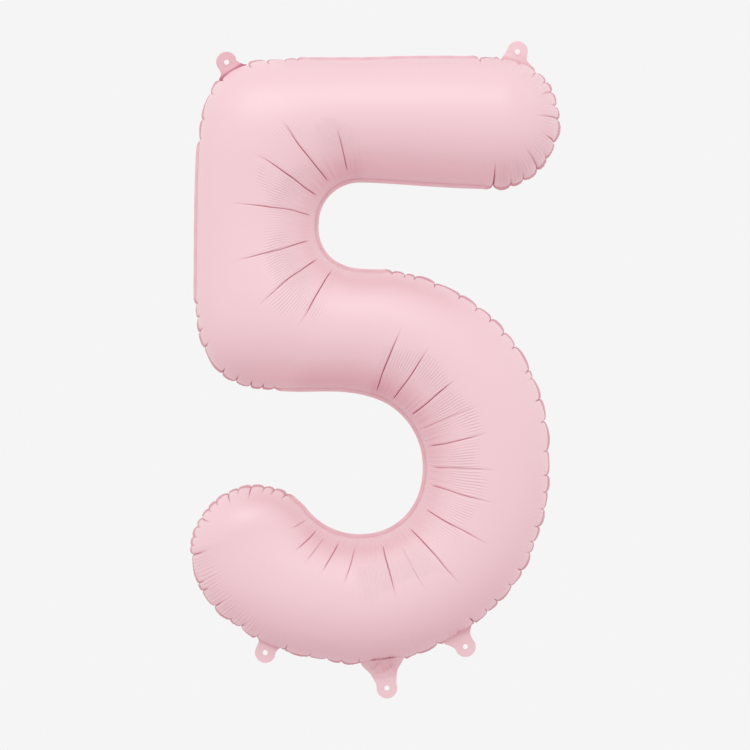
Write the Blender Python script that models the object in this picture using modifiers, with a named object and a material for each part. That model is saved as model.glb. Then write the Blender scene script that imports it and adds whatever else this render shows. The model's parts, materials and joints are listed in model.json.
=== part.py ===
"""Foil number balloon, the figure 5, inflated.

Two films of metallised foil are welded together round their rim, with a flat
self-sealing filling valve between them and five eyelet tabs round the edge.
The seam lies in the plane Y = 0, the front faces -Y and +Z is up.
Units are metres.  The origin is the centre of the whole balloon's box.
"""

import math

import bmesh
import bpy
from mathutils import Matrix, Vector

# Films
FILM = 0.0003  # thickness of each film as modelled
SEAM_GAP = 0.0003  # between the two films where they are welded
FLANGE = 0.0045  # width of the welded rim
DEPTH_RATIO = 0.88  # front-to-back size over the stroke's width
STROKE = 0.160  # usual width of the stroke between its welds
CORNER_FULLNESS = 0.4  # how much a longer rib stands higher

# The arm, from its round end to the notch
ARM_END_X = 0.1600
ARM_TOP_Z = (0.4091, 0.4114, 0.4108)  # over the notch, half way, at the end
ARM_BOTTOM_END_Z = 0.2373
ARM_CAP_REACH = 0.0824

# The notch under the arm, and the square-shouldered bend round it
NOTCH = Vector((-0.0184, 0.1901))
NOTCH_RADIUS = 0.0564
BEND_REACH = 0.2192
BEND_SQUARENESS = 4.7
BEND_END = 245.0
BAR_TANGENT = 4.0  # degrees into the bend and the bowl, for the bar's tangents

# The bowl: two near circles about one centre.  Keys are (degrees, radius).
BOWL = Vector((-0.0328, -0.1232))
BOWL_START = 75.0
BOWL_END = -136.0
BOWL_INNER = (
    (90.0, 0.0925),
    (45.0, 0.0930),
    (0.0, 0.0944),
    (-45.0, 0.0986),
    (-90.0, 0.0905),
    (-136.0, 0.0808),
)
BOWL_OUTER = (
    (90.0, 0.2570),
    (45.0, 0.2690),
    (0.0, 0.2628),
    (-50.0, 0.2665),
    (-95.0, 0.2605),
    (-132.0, 0.2595),
    (-152.0, 0.2378),
)
LEAN_START = -47.0
LEAN_SPAN = 38.0
LOBE_LEAN = 16.0  # how far the ribs lean on towards the lobe
LOBE_CAP_DIP = 0.0240
LOBE_CAP_POWER = 0.85
LOBE_HEIGHT = 0.90  # crown height at the lobe's last rib
LOBE_EASE_RIBS = 8  # ribs over which the crown comes down to that

# The filling tail under the bowl
TAIL_START = -66.8
TAIL_END = -73.1
TAIL_STEPS = 4
TAIL_MARGIN = 1.2  # degrees kept clear of other ribs on each side
TAIL_SIDE = 0.3  # degrees from the tail to the rib beside it
TAIL_NECK = Vector((0.0140, -0.4035))
TAIL_NECK_HALF = 0.0137
TAIL_DIRECTION = -83.0
TAIL_GAP = 0.0017  # between the films where the valve passes
TAIL_GAP_REACH = 0.020
TAIL_GAP_FADE = 0.016
TAIL_GAP_LIMIT = 0.12  # no further from the neck than this

# Valve
VALVE_WIDTH = 0.020
VALVE_LENGTH = 0.130
VALVE_TOP_RADIUS = 0.006
VALVE_FOOT = 0.003  # from the tail's neck to the valve's lower end

# Tabs: (root x, root z, direction in degrees, root width, reach to the eyelet)
TAB_RADIUS = 0.0134
EYELET_RADIUS = 0.00325
TAB_THICKNESS = 0.0006
HINGE_GAP = 0.0005  # from the rim to the fold line, and from there to the tab
TAB_SHOULDER = 20.0  # degrees past level at which the round end meets its sides
TABS = {
    "tab_top_left": (-0.1884, 0.3944, 124.0, 0.0300, 0.0105),
    "tab_top_right": (0.1848, 0.4077, 79.0, 0.0290, 0.0093),
    "tab_bottom_left": (-0.1400, -0.3619, -114.2, 0.0290, 0.0088),
    "tab_bottom_right": (0.1122, -0.3484, -66.0, 0.0250, 0.0150),
    "tab_tail": (0.0140, -0.4035, -83.0, 0.0262, 0.0130),
}

# Mesh steps
ARM_STEPS = 7
BEND_STEPS = 26
BAR_STEPS = 5
BOWL_STEPS = 32
ACROSS = 14
CAP_STEPS = 12
ROUND_STEPS = 24
VALVE_ROUND_STEPS = 5

PINK = (0.86, 0.60, 0.63, 1.0)
PINK_ROUGHNESS = 0.45
VALVE_CLEAR = (0.80, 0.78, 0.78, 1.0)
VALVE_ROUGHNESS = 0.3


def smooth(amount):
    amount = min(max(amount, 0.0), 1.0)
    return amount * amount * (3.0 - 2.0 * amount)


def polar(degrees, radius=1.0):
    angle = math.radians(degrees)
    return Vector((math.cos(angle), math.sin(angle))) * radius


def through(keys, place):
    """A smooth curve through keys of falling angle."""
    last = len(keys) - 2
    low = 0
    while low < last and place < keys[low + 1][0]:
        low += 1
    points = [keys[min(max(low + step, 0), last + 1)] for step in (-1, 0, 1, 2)]
    span = points[2][0] - points[1][0]
    along = (place - points[1][0]) / span
    slopes = []
    for before, after in ((points[0], points[2]), (points[1], points[3])):
        slopes.append((after[1] - before[1]) / (after[0] - before[0]) * span)
    cube = along**3
    square = along**2
    return (
        (2 * cube - 3 * square + 1) * points[1][1]
        + (cube - 2 * square + along) * slopes[0]
        + (3 * square - 2 * cube) * points[2][1]
        + (cube - square) * slopes[1]
    )


def arm_rib(amount):
    """Rib of the arm: 0 at the round end, 1 over the notch's centre."""
    x = ARM_END_X + (NOTCH.x - ARM_END_X) * amount
    notch_top = NOTCH.y + NOTCH_RADIUS
    bottom = ARM_BOTTOM_END_Z + (notch_top - ARM_BOTTOM_END_Z) * smooth(amount)
    over, middle, end = ARM_TOP_Z
    bulge = middle - (over + end) / 2
    top = end + (over - end) * amount + bulge * math.sin(math.pi * amount)
    return Vector((x, bottom)), Vector((x, top))


def bend_rib(degrees):
    ray = polar(degrees)
    power = BEND_SQUARENESS
    stretch = (abs(ray.x) ** power + abs(ray.y) ** power) ** (-1 / power)
    return NOTCH + ray * NOTCH_RADIUS, NOTCH + ray * BEND_REACH * stretch


def bowl_rib(degrees):
    leaned = degrees - LOBE_LEAN * smooth((LEAN_START - degrees) / LEAN_SPAN)
    outer = BOWL + polar(leaned, through(BOWL_OUTER, leaned))
    inner = BOWL + polar(degrees, through(BOWL_INNER, degrees))
    return outer, inner


def bar_rib(amount):
    """Rib between the bend's last rib and the bowl's first, with no kink."""
    before = bend_rib(BEND_END - BAR_TANGENT)
    start = bend_rib(BEND_END)
    end = bowl_rib(BOWL_START)
    after = bowl_rib(BOWL_START - BAR_TANGENT)
    rib = []
    for side in (0, 1):
        span = (end[side] - start[side]).length
        leave = (start[side] - before[side]).normalized() * span
        arrive = (after[side] - end[side]).normalized() * span
        cube = amount**3
        square = amount**2
        point = start[side] * (2 * cube - 3 * square + 1)
        point += leave * (cube - 2 * square + amount)
        point += end[side] * (3 * square - 2 * cube)
        point += arrive * (cube - square)
        rib.append(point)
    return tuple(rib)


def bowl_angles():
    """The bowl's ribs, with extra ones at the sides of the filling tail."""
    span = BOWL_END - BOWL_START
    angles = [BOWL_START + span * step / BOWL_STEPS for step in range(BOWL_STEPS + 1)]
    low = TAIL_END - TAIL_MARGIN
    high = TAIL_START + TAIL_MARGIN
    angles = [angle for angle in angles if not low < angle < high]
    for step in range(TAIL_STEPS + 1):
        angles.append(TAIL_START + (TAIL_END - TAIL_START) * step / TAIL_STEPS)
    angles += [TAIL_START + TAIL_SIDE, TAIL_END - TAIL_SIDE]
    return sorted(angles, reverse=True)


def all_ribs():
    """Every rib as (side A, side B, tail place or None), in order."""
    ribs = [(*arm_rib(step / ARM_STEPS), None) for step in range(ARM_STEPS)]
    for step in range(BEND_STEPS):
        ribs.append((*bend_rib(90 + (BEND_END - 90) * step / BEND_STEPS), None))
    ribs += [(*bar_rib(step / BAR_STEPS), None) for step in range(BAR_STEPS)]
    for angle in bowl_angles():
        place = (TAIL_START - angle) / (TAIL_START - TAIL_END)
        ribs.append((*bowl_rib(angle), place if -0.01 < place < 1.01 else None))
    return ribs


def rim_y(point):
    """Distance of a film's inner face from the seam plane, on the rim."""
    away = (point - TAIL_NECK).length
    off_tail = min(max((abs(point.x - TAIL_NECK.x) - TAIL_GAP_REACH) / TAIL_GAP_FADE, 0.0), 1.0)
    near = 1.0 - smooth(off_tail) if away < TAIL_GAP_LIMIT else 0.0
    return (SEAM_GAP + (TAIL_GAP - SEAM_GAP) * near) / 2 + FILM


def crown(length):
    """Height of the crown over a rib of this length between its welds."""
    return DEPTH_RATIO / 2 * STROKE * (length / STROKE) ** CORNER_FULLNESS


def tail_edge(place):
    """A point on the tail's lower edge, where the eyelet end folds."""
    along = polar(TAIL_DIRECTION)
    across = Vector((along.y, -along.x))
    edge = TAIL_NECK - along * HINGE_GAP
    return edge + across * TAIL_NECK_HALF * (2 * place - 1)


def rib_section(side_a, side_b, tail, scale):
    """The film's outer face over one rib, from rim to rim, as (x, y, z)."""
    inward = (side_b - side_a).normalized()
    weld_a = side_a + inward * FLANGE
    weld_b = side_b - inward * FLANGE
    edge_a = side_a if tail is None else tail_edge(tail)
    half = (weld_b - weld_a) / 2
    middle = (weld_a + weld_b) / 2
    height = crown(half.length * 2) * scale
    points = [(edge_a, rim_y(edge_a))]
    for step in range(ACROSS + 1):
        turn = math.pi * step / ACROSS
        place = middle - half * math.cos(turn)
        points.append((place, rim_y(place) + height * math.sin(turn)))
    points.append((side_b, rim_y(side_b)))
    return points


def cap_spoke(pole, direction, reach, height):
    """The film's outer face from the crown out to the rim, over a round end."""
    steps = ACROSS // 2
    points = []
    for step in range(1, steps + 1):
        turn = math.pi / 2 * step / steps
        place = pole + direction * (reach - FLANGE) * math.sin(turn)
        points.append((place, rim_y(place) + height * math.cos(turn)))
    edge = pole + direction * reach
    points.append((edge, rim_y(edge)))
    return points


def arm_cap_reach(share, radius):
    """Half an ellipse: the arm's round end."""
    turn = math.pi * share
    return radius * ARM_CAP_REACH / math.hypot(ARM_CAP_REACH * math.cos(turn), radius * math.sin(turn))


def lobe_cap_reach(share, radius):
    """The lobe's flatter round end."""
    return radius - LOBE_CAP_DIP * math.sin(math.pi * share) ** LOBE_CAP_POWER


def add_cap(mesh, section, verts, reach_of, turn_sign, facing):
    """Fill a round end with spokes from the last rib's crown."""
    middle = len(section) // 2
    pole = section[middle][0]
    height = section[middle][1] - rim_y(pole)
    start = section[0][0] - pole
    spokes = [[verts[j] for j in range(middle - 1, -1, -1)]]
    for step in range(1, CAP_STEPS):
        share = step / CAP_STEPS
        turned = start.copy()
        turned.rotate(Matrix.Rotation(turn_sign * math.pi * share, 2))
        reach = reach_of(share, start.length)
        points = cap_spoke(pole, turned.normalized(), reach, height)
        spokes.append([mesh.verts.new((p.x, facing * y, p.y)) for p, y in points])
    spokes.append([verts[j] for j in range(middle + 1, len(verts))])
    for one, other in zip(spokes, spokes[1:]):
        mesh.faces.new((verts[middle], one[0], other[0]))
        for j in range(len(one) - 1):
            mesh.faces.new((one[j], one[j + 1], other[j + 1], other[j]))


def add_panel(name, facing, material, collection):
    """One film: a loft over the stroke's ribs, given its thickness."""
    mesh = bmesh.new()
    ribs = all_ribs()
    sections = []
    rows = []
    for index, (side_a, side_b, tail) in enumerate(ribs):
        to_end = (len(ribs) - 1 - index) / LOBE_EASE_RIBS
        scale = LOBE_HEIGHT + (1 - LOBE_HEIGHT) * smooth(to_end)
        section = rib_section(side_a, side_b, tail, scale)
        sections.append(section)
        rows.append([mesh.verts.new((p.x, facing * y, p.y)) for p, y in section])
    for row, following in zip(rows, rows[1:]):
        for j in range(len(row) - 1):
            mesh.faces.new((row[j], row[j + 1], following[j + 1], following[j]))
    add_cap(mesh, sections[0], rows[0], arm_cap_reach, 1, facing)
    add_cap(mesh, sections[-1], rows[-1], lobe_cap_reach, -1, facing)
    bmesh.ops.recalc_face_normals(mesh, faces=mesh.faces)
    if sum(face.normal.y * face.calc_area() for face in mesh.faces) * facing < 0:
        bmesh.ops.reverse_faces(mesh, faces=mesh.faces)
    panel = new_object(name, mesh, material, collection)
    shell = panel.modifiers.new("film", "SOLIDIFY")
    shell.thickness = FILM
    shell.offset = -1.0
    shell.use_even_offset = False


def new_object(name, mesh, material, collection):
    data = bpy.data.meshes.new(name)
    mesh.to_mesh(data)
    mesh.free()
    data.materials.append(material)
    data.shade_smooth()
    item = bpy.data.objects.new(name, data)
    collection.objects.link(item)
    return item


def flat_outline(name, outlines, thickness, material, collection):
    """A flat sheet in its own XY plane from closed outlines, holes included."""
    curve = bpy.data.curves.new(name, "CURVE")
    curve.dimensions = "2D"
    curve.fill_mode = "BOTH"
    curve.extrude = thickness / 2
    for outline in outlines:
        spline = curve.splines.new("POLY")
        spline.points.add(len(outline) - 1)
        for point, (x, y) in zip(spline.points, outline):
            point.co = (x, y, 0.0, 1.0)
        spline.use_cyclic_u = True
    curve.materials.append(material)
    item = bpy.data.objects.new(name, curve)
    collection.objects.link(item)
    return item


def ring(centre, radius, start, end, steps):
    """Points of an arc from start to end, in degrees."""
    points = []
    for step in range(steps + 1):
        points.append(centre + polar(start + (end - start) * step / steps, radius))
    return points


def stand_in_seam(item, position, direction, y=0.0):
    """Stand a flat sheet in the seam plane, its own +Y along the direction."""
    along = polar(direction)
    across = Vector((along.y, -along.x))
    matrix = Matrix(
        (
            (across.x, along.x, 0.0, position.x),
            (0.0, 0.0, -1.0, y),
            (across.y, along.y, 0.0, position.y),
            (0.0, 0.0, 0.0, 1.0),
        )
    )
    item.matrix_world = matrix


def add_tab(name, material, collection):
    """An eyelet tab: a round end on a wider root, its origin on its fold line."""
    x, z, direction, width, reach = TABS[name]
    centre = Vector((0.0, reach + HINGE_GAP))
    half = width / 2
    outline = [Vector((-half, HINGE_GAP)), Vector((half, HINGE_GAP))]
    outline += ring(centre, TAB_RADIUS, -TAB_SHOULDER, 180 + TAB_SHOULDER, ROUND_STEPS)
    hole = ring(centre, EYELET_RADIUS, 0, 360 - 360 / ROUND_STEPS, ROUND_STEPS - 1)
    tab = flat_outline(name, [outline, hole], TAB_THICKNESS, material, collection)
    stand_in_seam(tab, Vector((x, z)), direction)


def add_valve_film(name, facing, material, collection):
    """One layer of the flat filling valve, from the tail up into the balloon."""
    half = VALVE_WIDTH / 2
    radius = VALVE_TOP_RADIUS
    outline = [Vector((-half, 0.0)), Vector((half, 0.0))]
    top = VALVE_LENGTH - radius
    outline += ring(Vector((half - radius, top)), radius, 0, 90, VALVE_ROUND_STEPS)
    outline += ring(Vector((radius - half, top)), radius, 90, 180, VALVE_ROUND_STEPS)
    film = flat_outline(name, [outline], FILM, material, collection)
    foot = TAIL_NECK - polar(TAIL_DIRECTION) * VALVE_FOOT
    stand_in_seam(film, foot, TAIL_DIRECTION + 180.0, facing * (SEAM_GAP + FILM) / 2)


def film_material(name, color, roughness):
    material = bpy.data.materials.new(name)
    material.use_nodes = True
    shader = material.node_tree.nodes["Principled BSDF"]
    shader.inputs["Base Color"].default_value = color
    shader.inputs["Roughness"].default_value = roughness
    return material


def new_collection(name):
    collection = bpy.data.collections.new(name)
    bpy.context.scene.collection.children.link(collection)
    return collection


def main():
    for item in list(bpy.data.objects):
        bpy.data.objects.remove(item, do_unlink=True)
    parts = new_collection("foil_number_balloon")
    for name, facing in (("front_panel", -1), ("back_panel", 1)):
        material = film_material(name, PINK, PINK_ROUGHNESS)
        add_panel(name, facing, material, parts)
    for name, facing in (("valve_front_film", -1), ("valve_back_film", 1)):
        material = film_material(name, VALVE_CLEAR, VALVE_ROUGHNESS)
        add_valve_film(name, facing, material, parts)
    for name in TABS:
        add_tab(name, film_material(name, PINK, PINK_ROUGHNESS), parts)


main()
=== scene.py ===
"""Looks of the foil number balloon: puckered foil skins, welded rim and eyelet tabs.

Lengths are metres.  The seam lies in the plane Y = 0, the front faces -Y, +Z is up.
The outline repeats the CAD's driving sizes.  The creases, cusps and swellings of the rim
are listed by their place on the outline, and relief() lays them over it.
"""

import json
import math

import bmesh
import bpy
import numpy as np
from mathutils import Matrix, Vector
from mathutils.geometry import delaunay_2d_cdt


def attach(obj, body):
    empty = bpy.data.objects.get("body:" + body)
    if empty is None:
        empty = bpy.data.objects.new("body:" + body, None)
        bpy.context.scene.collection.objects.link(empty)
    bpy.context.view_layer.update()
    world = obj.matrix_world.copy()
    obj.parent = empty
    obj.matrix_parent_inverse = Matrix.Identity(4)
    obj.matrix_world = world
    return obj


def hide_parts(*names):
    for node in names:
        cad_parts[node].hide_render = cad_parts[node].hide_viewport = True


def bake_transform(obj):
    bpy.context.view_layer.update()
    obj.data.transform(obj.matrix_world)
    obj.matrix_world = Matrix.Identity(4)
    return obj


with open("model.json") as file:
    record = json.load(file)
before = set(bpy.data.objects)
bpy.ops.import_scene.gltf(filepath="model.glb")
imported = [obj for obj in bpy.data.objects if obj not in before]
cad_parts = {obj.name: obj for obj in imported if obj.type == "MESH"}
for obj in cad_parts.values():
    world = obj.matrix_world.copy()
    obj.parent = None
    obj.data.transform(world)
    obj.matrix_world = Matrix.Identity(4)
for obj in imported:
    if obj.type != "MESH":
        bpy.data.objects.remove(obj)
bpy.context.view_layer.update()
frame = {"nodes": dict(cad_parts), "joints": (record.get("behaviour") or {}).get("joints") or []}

# ---- the outline
FLANGE = 0.0045
DEPTH_RATIO = 0.88
STROKE = 0.160
CORNER_FULLNESS = 0.4
ARM_END_X = 0.1600
ARM_TOP_Z = (0.4091, 0.4114, 0.4108)
ARM_BOTTOM_END_Z = 0.2373
ARM_CAP_REACH = 0.0824
NOTCH = np.array((-0.0184, 0.1901))
NOTCH_RADIUS = 0.0564
BEND_REACH = 0.2192
BEND_SQUARENESS = 4.7
BEND_END = 245.0
BAR_STEP = 4.0  # degrees over which the bar takes up its neighbours' directions
BOWL = np.array((-0.0328, -0.1232))
BOWL_START = 75.0
BOWL_END = -136.0
BOWL_INNER = (
    (90.0, 0.0925), (45.0, 0.0930), (0.0, 0.0944), (-45.0, 0.0986), (-90.0, 0.0905),
    (-136.0, 0.0808),
)
BOWL_OUTER = (
    (90.0, 0.2570), (45.0, 0.2690), (0.0, 0.2628), (-50.0, 0.2665), (-95.0, 0.2605),
    (-132.0, 0.2595), (-152.0, 0.2378),
)
LEAN_START = -47.0
LEAN_SPAN = 38.0
LOBE_LEAN = 16.0
LOBE_CAP_DIP = 0.0240
LOBE_HEIGHT = 0.90
LOBE_EASE = 0.22  # of the bowl's length, over which the lobe's crown comes down
STROKE_END = 4.0  # arm 0-1, bend 1-2, bar 2-3, bowl 3-4

# ---- light and look
LENS = 100.0  # mm, as is the sensor
SENSOR = 36.0
VIEW_WIDTH = 0.983
CAMERA_HEIGHT = -0.0066
KEY_PLACE = (-0.5, -1.7, 1.8)
KEY_TARGET = (0.0, 0.0, 0.1)
KEY_SIZE = (2.2, 1.4)
KEY_POWER = 7.4
BACKGROUND = 0.913
FOIL_COLOR = (0.842, 0.540, 0.586, 1.0)
# the painted shade colour, mixed in by the crease attribute
CREASE_SHADE_COLOR = (0.500, 0.090, 0.150, 1.0)
BUMP_PITCH = 0.0042
BUMP_HEIGHT = 0.00028
WORLD_COLORS = (  # from straight below to overhead
    (0.62, 0.48, 0.51),
    (0.90, 0.84, 0.86),
    (1.01, 1.01, 1.01),
    (1.06, 1.07, 1.07),
    (0.92, 0.93, 0.93),
)

# ---- the mesh
ACROSS = 58
CROWD = 0.10  # how much the columns crowd towards the welds
SPACING = 0.0030  # of the ribs, at most
ARM_SPACING = 0.0044
ARM_SPACED = 0.9  # the place up to which that holds
BOWL_SPACING = 0.0026
CREASE_SPACING = (0.00032, 0.0010, 1.1)  # on it, beside it, and a stretch of both
CUSP_SPACING = (0.00055, 0.0012, 1.0)
SPACING_NEAR = 0.003
SPACING_GROWTH = 0.22  # further off
PATCH_REACH = 0.92  # of the half width, over which the fine ripples show
PATCH_DRIFT = 0.08
CAP_SPOKES = 180
SEAM_HALF_GAP = 0.0003
SHEET = 0.0003
FLANGE_STEPS = (0.0009, 0.0026, 0.0045)
TAB_FLANGE = 0.10  # share of the welded rim left where a tab grows out of it
LINING_INSET = 0.0060
LINING_EVERY = 8
LINING_COLUMNS = (5, 10, 16, 24)  # on each half of the ribs
ENDS = (("lobe", -1), ("arm", 0))  # and the rib where each begins

# ---- creases and cusps
MM = 0.001
# Long creases: (degrees about the bend's centre, start, end, strength), in plan mm
NOTCH_CREASES = (
    (104.7, 8, 66, 0.9), (128.4, 7, 106, 1.0), (147.8, 6, 104, 1.0),
    (171.0, 5, 112, 0.75), (198.5, 10, 118, 0.8), (219.4, 12, 114, 0.9),
    (238.8, 11, 98, 0.9),
)
BOWL_CREASES = (
    (69.9, 4, 96, 1.0), (56.3, 4, 90, 1.0), (38.9, 4, 82, 1.0), (26.0, 7, 90, 0.35),
    (13.4, 7, 88, 0.75), (-1.5, 8, 94, 0.55), (-14.1, 8, 95, 0.65),
    (-29.9, 11, 107, 0.75), (-46.2, 10, 108, 0.8), (-56.0, 22, 90, 0.35),
    (-65.2, 11, 82, 0.8), (-83.0, 10, 62, 0.6), (-95.2, 8, 52, 0.8),
    (-106.6, 8, 50, 0.5), (-115.0, 5, 44, 0.75), (-127.0, 4, 26, 0.5),
)
# Cusps of the rim: (degrees about the centre, pleat length in mm, strength)
CORNER_TOP_CUSPS = (
    (110.0, 5, 0.4), (114.1, 7, 0.8), (119.9, 9, 1.0), (125.9, 12, 1.0),
    (134.2, 8, 0.9), (138.2, 8, 1.0), (146.0, 8, 1.0), (152.6, 6, 0.7),
)
CORNER_BOTTOM_CUSPS = (
    (205.0, 5, 0.5), (209.6, 6, 0.7), (214.0, 7, 0.9), (218.9, 9, 1.0), (226.5, 8, 1.0),
    (230.4, 10, 1.0), (234.8, 8, 1.0), (238.6, 6, 0.8), (242.5, 5, 0.5),
)
BOWL_CUSPS = (
    (77.5, 4, 0.4), (73.8, 6, 0.8), (70.8, 6, 0.9), (64.6, 8, 1.0), (56.7, 8, 1.0),
    (50.8, 9, 1.0), (45.6, 8, 1.0), (40.4, 9, 1.0), (35.6, 9, 1.0), (27.7, 9, 1.0),
    (25.4, 6, 0.7), (18.9, 9, 1.0), (12.4, 8, 1.0), (3.9, 9, 1.0), (-3.2, 8, 1.0),
    (-8.1, 8, 0.9), (-13.0, 7, 0.9), (-18.4, 9, 1.0), (-23.0, 8, 1.0), (-26.2, 7, 0.8),
    (-31.8, 9, 1.0), (-37.0, 9, 0.9), (-42.8, 10, 1.0), (-47.0, 9, 1.0),
    (-51.8, 15, 1.5), (-57.0, 9, 0.4), (-64.0, 9, 0.4), (-70.5, 12, 0.3),
    (-87.5, 10, 0.5), (-92.5, 7, 0.4), (-97.0, 9, 0.5), (-102.0, 14, 0.6),
    (-109.5, 16, 1.0), (-118.4, 8, 0.9), (-124.1, 20, 1.0), (-127.7, 10, 0.8),
    (-133.8, 24, 1.0), (-139.7, 12, 1.0), (-142.4, 10, 0.8),
)
LOBE_CUSPS = (
    (209.0, 28, 1.0), (202.8, 8, 0.8), (191.9, 8, 0.9), (178.9, 8, 0.9),
    (167.5, 17, 1.0), (153.0, 8, 0.9), (139.0, 8, 0.8), (119.0, 15, 1.0),
    (104.0, 8, 0.7), (86.0, 16, 1.0), (68.0, 8, 0.8), (55.2, 9, 1.0), (39.8, 8, 0.9),
)
ARM_CUSPS = (
    (106.3, 10, 0.8), (86.4, 9, 1.0), (70.0, 6, 0.8), (52.3, 16, 1.0), (40.2, 8, 0.7),
    (29.4, 20, 1.0), (16.0, 9, 0.8), (3.1, 36, 1.0), (-19.2, 20, 1.0), (-35.5, 8, 0.9),
    (-49.4, 34, 1.1), (-65.3, 9, 0.8), (-77.5, 8, 0.8), (-93.6, 31, 1.1),
)
# Slow swellings of the rim: (x, z, half length, outwards), all in mm
RIM_SWELLS = (
    (-226.8, -281.8, 42, 4.6), (-236.0, 290.0, 70, -2.0), (-231.0, 322.0, 26, -1.8),
    (-138.0, 408.0, 45, 1.6), (-165.0, 404.0, 20, 1.2), (0.0, 411.0, 120, 0.6),
    (-183.5, -15.7, 34, 2.6), (-237.3, 91.8, 30, 1.0), (-226.0, 40.0, 26, 1.3),
    (183.5, -278.0, 34, 3.3), (207.0, -239.0, 18, 1.3), (225.5, -177.0, 26, 1.5),
    (143.0, -325.0, 15, 1.5), (45.9, -373.6, 20, 3.3), (-26.2, -385.4, 24, 2.6),
    (-175.6, -339.5, 22, -1.2), (-216.3, -180.0, 34, -2.5), (-157.3, -149.5, 38, -1.3),
    (219.0, 384.0, 30, 2.0), (240.0, 337.0, 16, 1.2), (221.8, 266.0, 18, -1.2),
    (200.5, 4.5, 40, 1.2), (223.7, -54.8, 22, 1.4), (-59.0, 148.0, 28, -1.4),
    (-73.4, 195.0, 20, 0.9), (45.9, 242.5, 80, 1.5), (62.0, -126.0, 55, -0.9),
    (-5.0, -210.0, 50, -0.8), (-18.0, -34.0, 40, 0.9),
)
# Short gathers in the rim: (x, z, half length, depth, height, period), in mm
RIM_RIPPLES = (
    (22.0, -378.0, 15, 24, 0.42, 4.3), (101.0, -344.0, 17, 22, 0.32, 4.1),
    (-137.0, -366.0, 9, 22, 0.30, 4.6), (-128.0, -365.0, 8, 20, 0.30, 4.2),
)
# Near enough to where the rim lies, from each centre: the nearest rim point is taken
CORNER_REACH = 0.250
BOWL_REACH = 0.263
BOWL_INNER_REACH = 0.093
LOBE_REACH = 0.065
ARM_REACH = 0.083
CUSP_START = -2  # mm, beyond the weld
LOBE_GATHER = (-116.0, 197.0)  # degrees about the bowl, and about the lobe


def smooth(amount):
    amount = np.clip(amount, 0.0, 1.0)
    return amount * amount * (3.0 - 2.0 * amount)


def unit(vectors):
    return vectors / np.maximum(np.linalg.norm(vectors, axis=-1, keepdims=True), 1e-12)


def polar(degrees, radius=1.0):
    angle = np.radians(degrees)
    return np.stack((np.cos(angle), np.sin(angle)), -1) * np.asarray(radius)[..., None]


def through(keys, place):
    """A smooth curve through keys of falling angle."""
    place = np.asarray(place, float)
    angles = np.array([key[0] for key in keys])
    values = np.array([key[1] for key in keys])
    last = len(keys) - 2
    low = np.clip(np.searchsorted(-angles, -place, side="right") - 1, 0, last)
    before = np.maximum(low - 1, 0)
    after = np.minimum(low + 2, last + 1)
    span = angles[low + 1] - angles[low]
    along = (place - angles[low]) / span
    leave = (values[low + 1] - values[before]) / (angles[low + 1] - angles[before]) * span
    arrive = (values[after] - values[low]) / (angles[after] - angles[low]) * span
    return hermite(along, values[low], leave, values[low + 1], arrive)


def hermite(along, start, leave, end, arrive):
    cube = along**3
    square = along**2
    rise = 3 * square - 2 * cube
    result = start * (1 - rise) + leave * (cube - 2 * square + along)
    return result + end * rise + arrive * (cube - square)


def arm_ribs(amount):
    x = ARM_END_X + (NOTCH[0] - ARM_END_X) * amount
    notch_top = NOTCH[1] + NOTCH_RADIUS
    bottom = ARM_BOTTOM_END_Z + (notch_top - ARM_BOTTOM_END_Z) * smooth(amount)
    over, middle, end = ARM_TOP_Z
    bulge = middle - (over + end) / 2
    top = end + (over - end) * amount + bulge * np.sin(math.pi * amount)
    return np.stack((x, bottom), -1), np.stack((x, top), -1)


def bend_ribs(degrees):
    ray = polar(degrees)
    power = BEND_SQUARENESS
    stretch = (np.abs(ray) ** power).sum(-1) ** (-1 / power)
    return NOTCH + ray * NOTCH_RADIUS, NOTCH + ray * BEND_REACH * stretch[..., None]


def bowl_ribs(degrees):
    leaned = degrees - LOBE_LEAN * smooth((LEAN_START - degrees) / LEAN_SPAN)
    outer = BOWL + polar(leaned, through(BOWL_OUTER, leaned))
    inner = BOWL + polar(degrees, through(BOWL_INNER, degrees))
    return outer, inner


def bar_ribs(amount):
    """Curves from the bend's last rib to the bowl's first, leaving each smoothly."""
    one = np.ones(1)
    bend = [bend_ribs(degrees * one) for degrees in (BEND_END - BAR_STEP, BEND_END)]
    bowl = [bowl_ribs(degrees * one) for degrees in (BOWL_START, BOWL_START - BAR_STEP)]
    sides = []
    for before, start, end, after in zip(*bend, *bowl):
        span = np.linalg.norm(end - start)
        leave = start - before
        arrive = after - end
        leave *= span / np.linalg.norm(leave)
        arrive *= span / np.linalg.norm(arrive)
        sides.append(hermite(amount[:, None], start, leave, end, arrive))
    return tuple(sides)


def stroke(places):
    """Both ends of the rib at each place along the stroke, 0 to 4."""
    places = np.asarray(places, float)
    side_a = np.zeros((len(places), 2))
    side_b = np.zeros((len(places), 2))
    sections = (
        arm_ribs,
        lambda part: bend_ribs(90.0 + (BEND_END - 90.0) * part),
        bar_ribs,
        lambda part: bowl_ribs(BOWL_START + (BOWL_END - BOWL_START) * part),
    )
    for number, section in enumerate(sections):
        here = np.clip(np.floor(places), 0, 3) == number
        if here.any():
            side_a[here], side_b[here] = section(places[here] - number)
    return side_a, side_b


def arm_cap_reach(share, radius):
    turn = math.pi * share
    return radius * ARM_CAP_REACH / np.hypot(ARM_CAP_REACH * np.cos(turn), radius * np.sin(turn))


def lobe_cap_reach(share, radius):
    return radius - LOBE_CAP_DIP * np.clip(np.sin(math.pi * share), 0, 1) ** 0.85


def end_sides(which):
    """Both ends of the stroke's last rib at the lobe, or of its first at the arm."""
    place = np.array((STROKE_END if which == "lobe" else 0.0,))
    return (side[0] for side in stroke(place))


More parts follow.
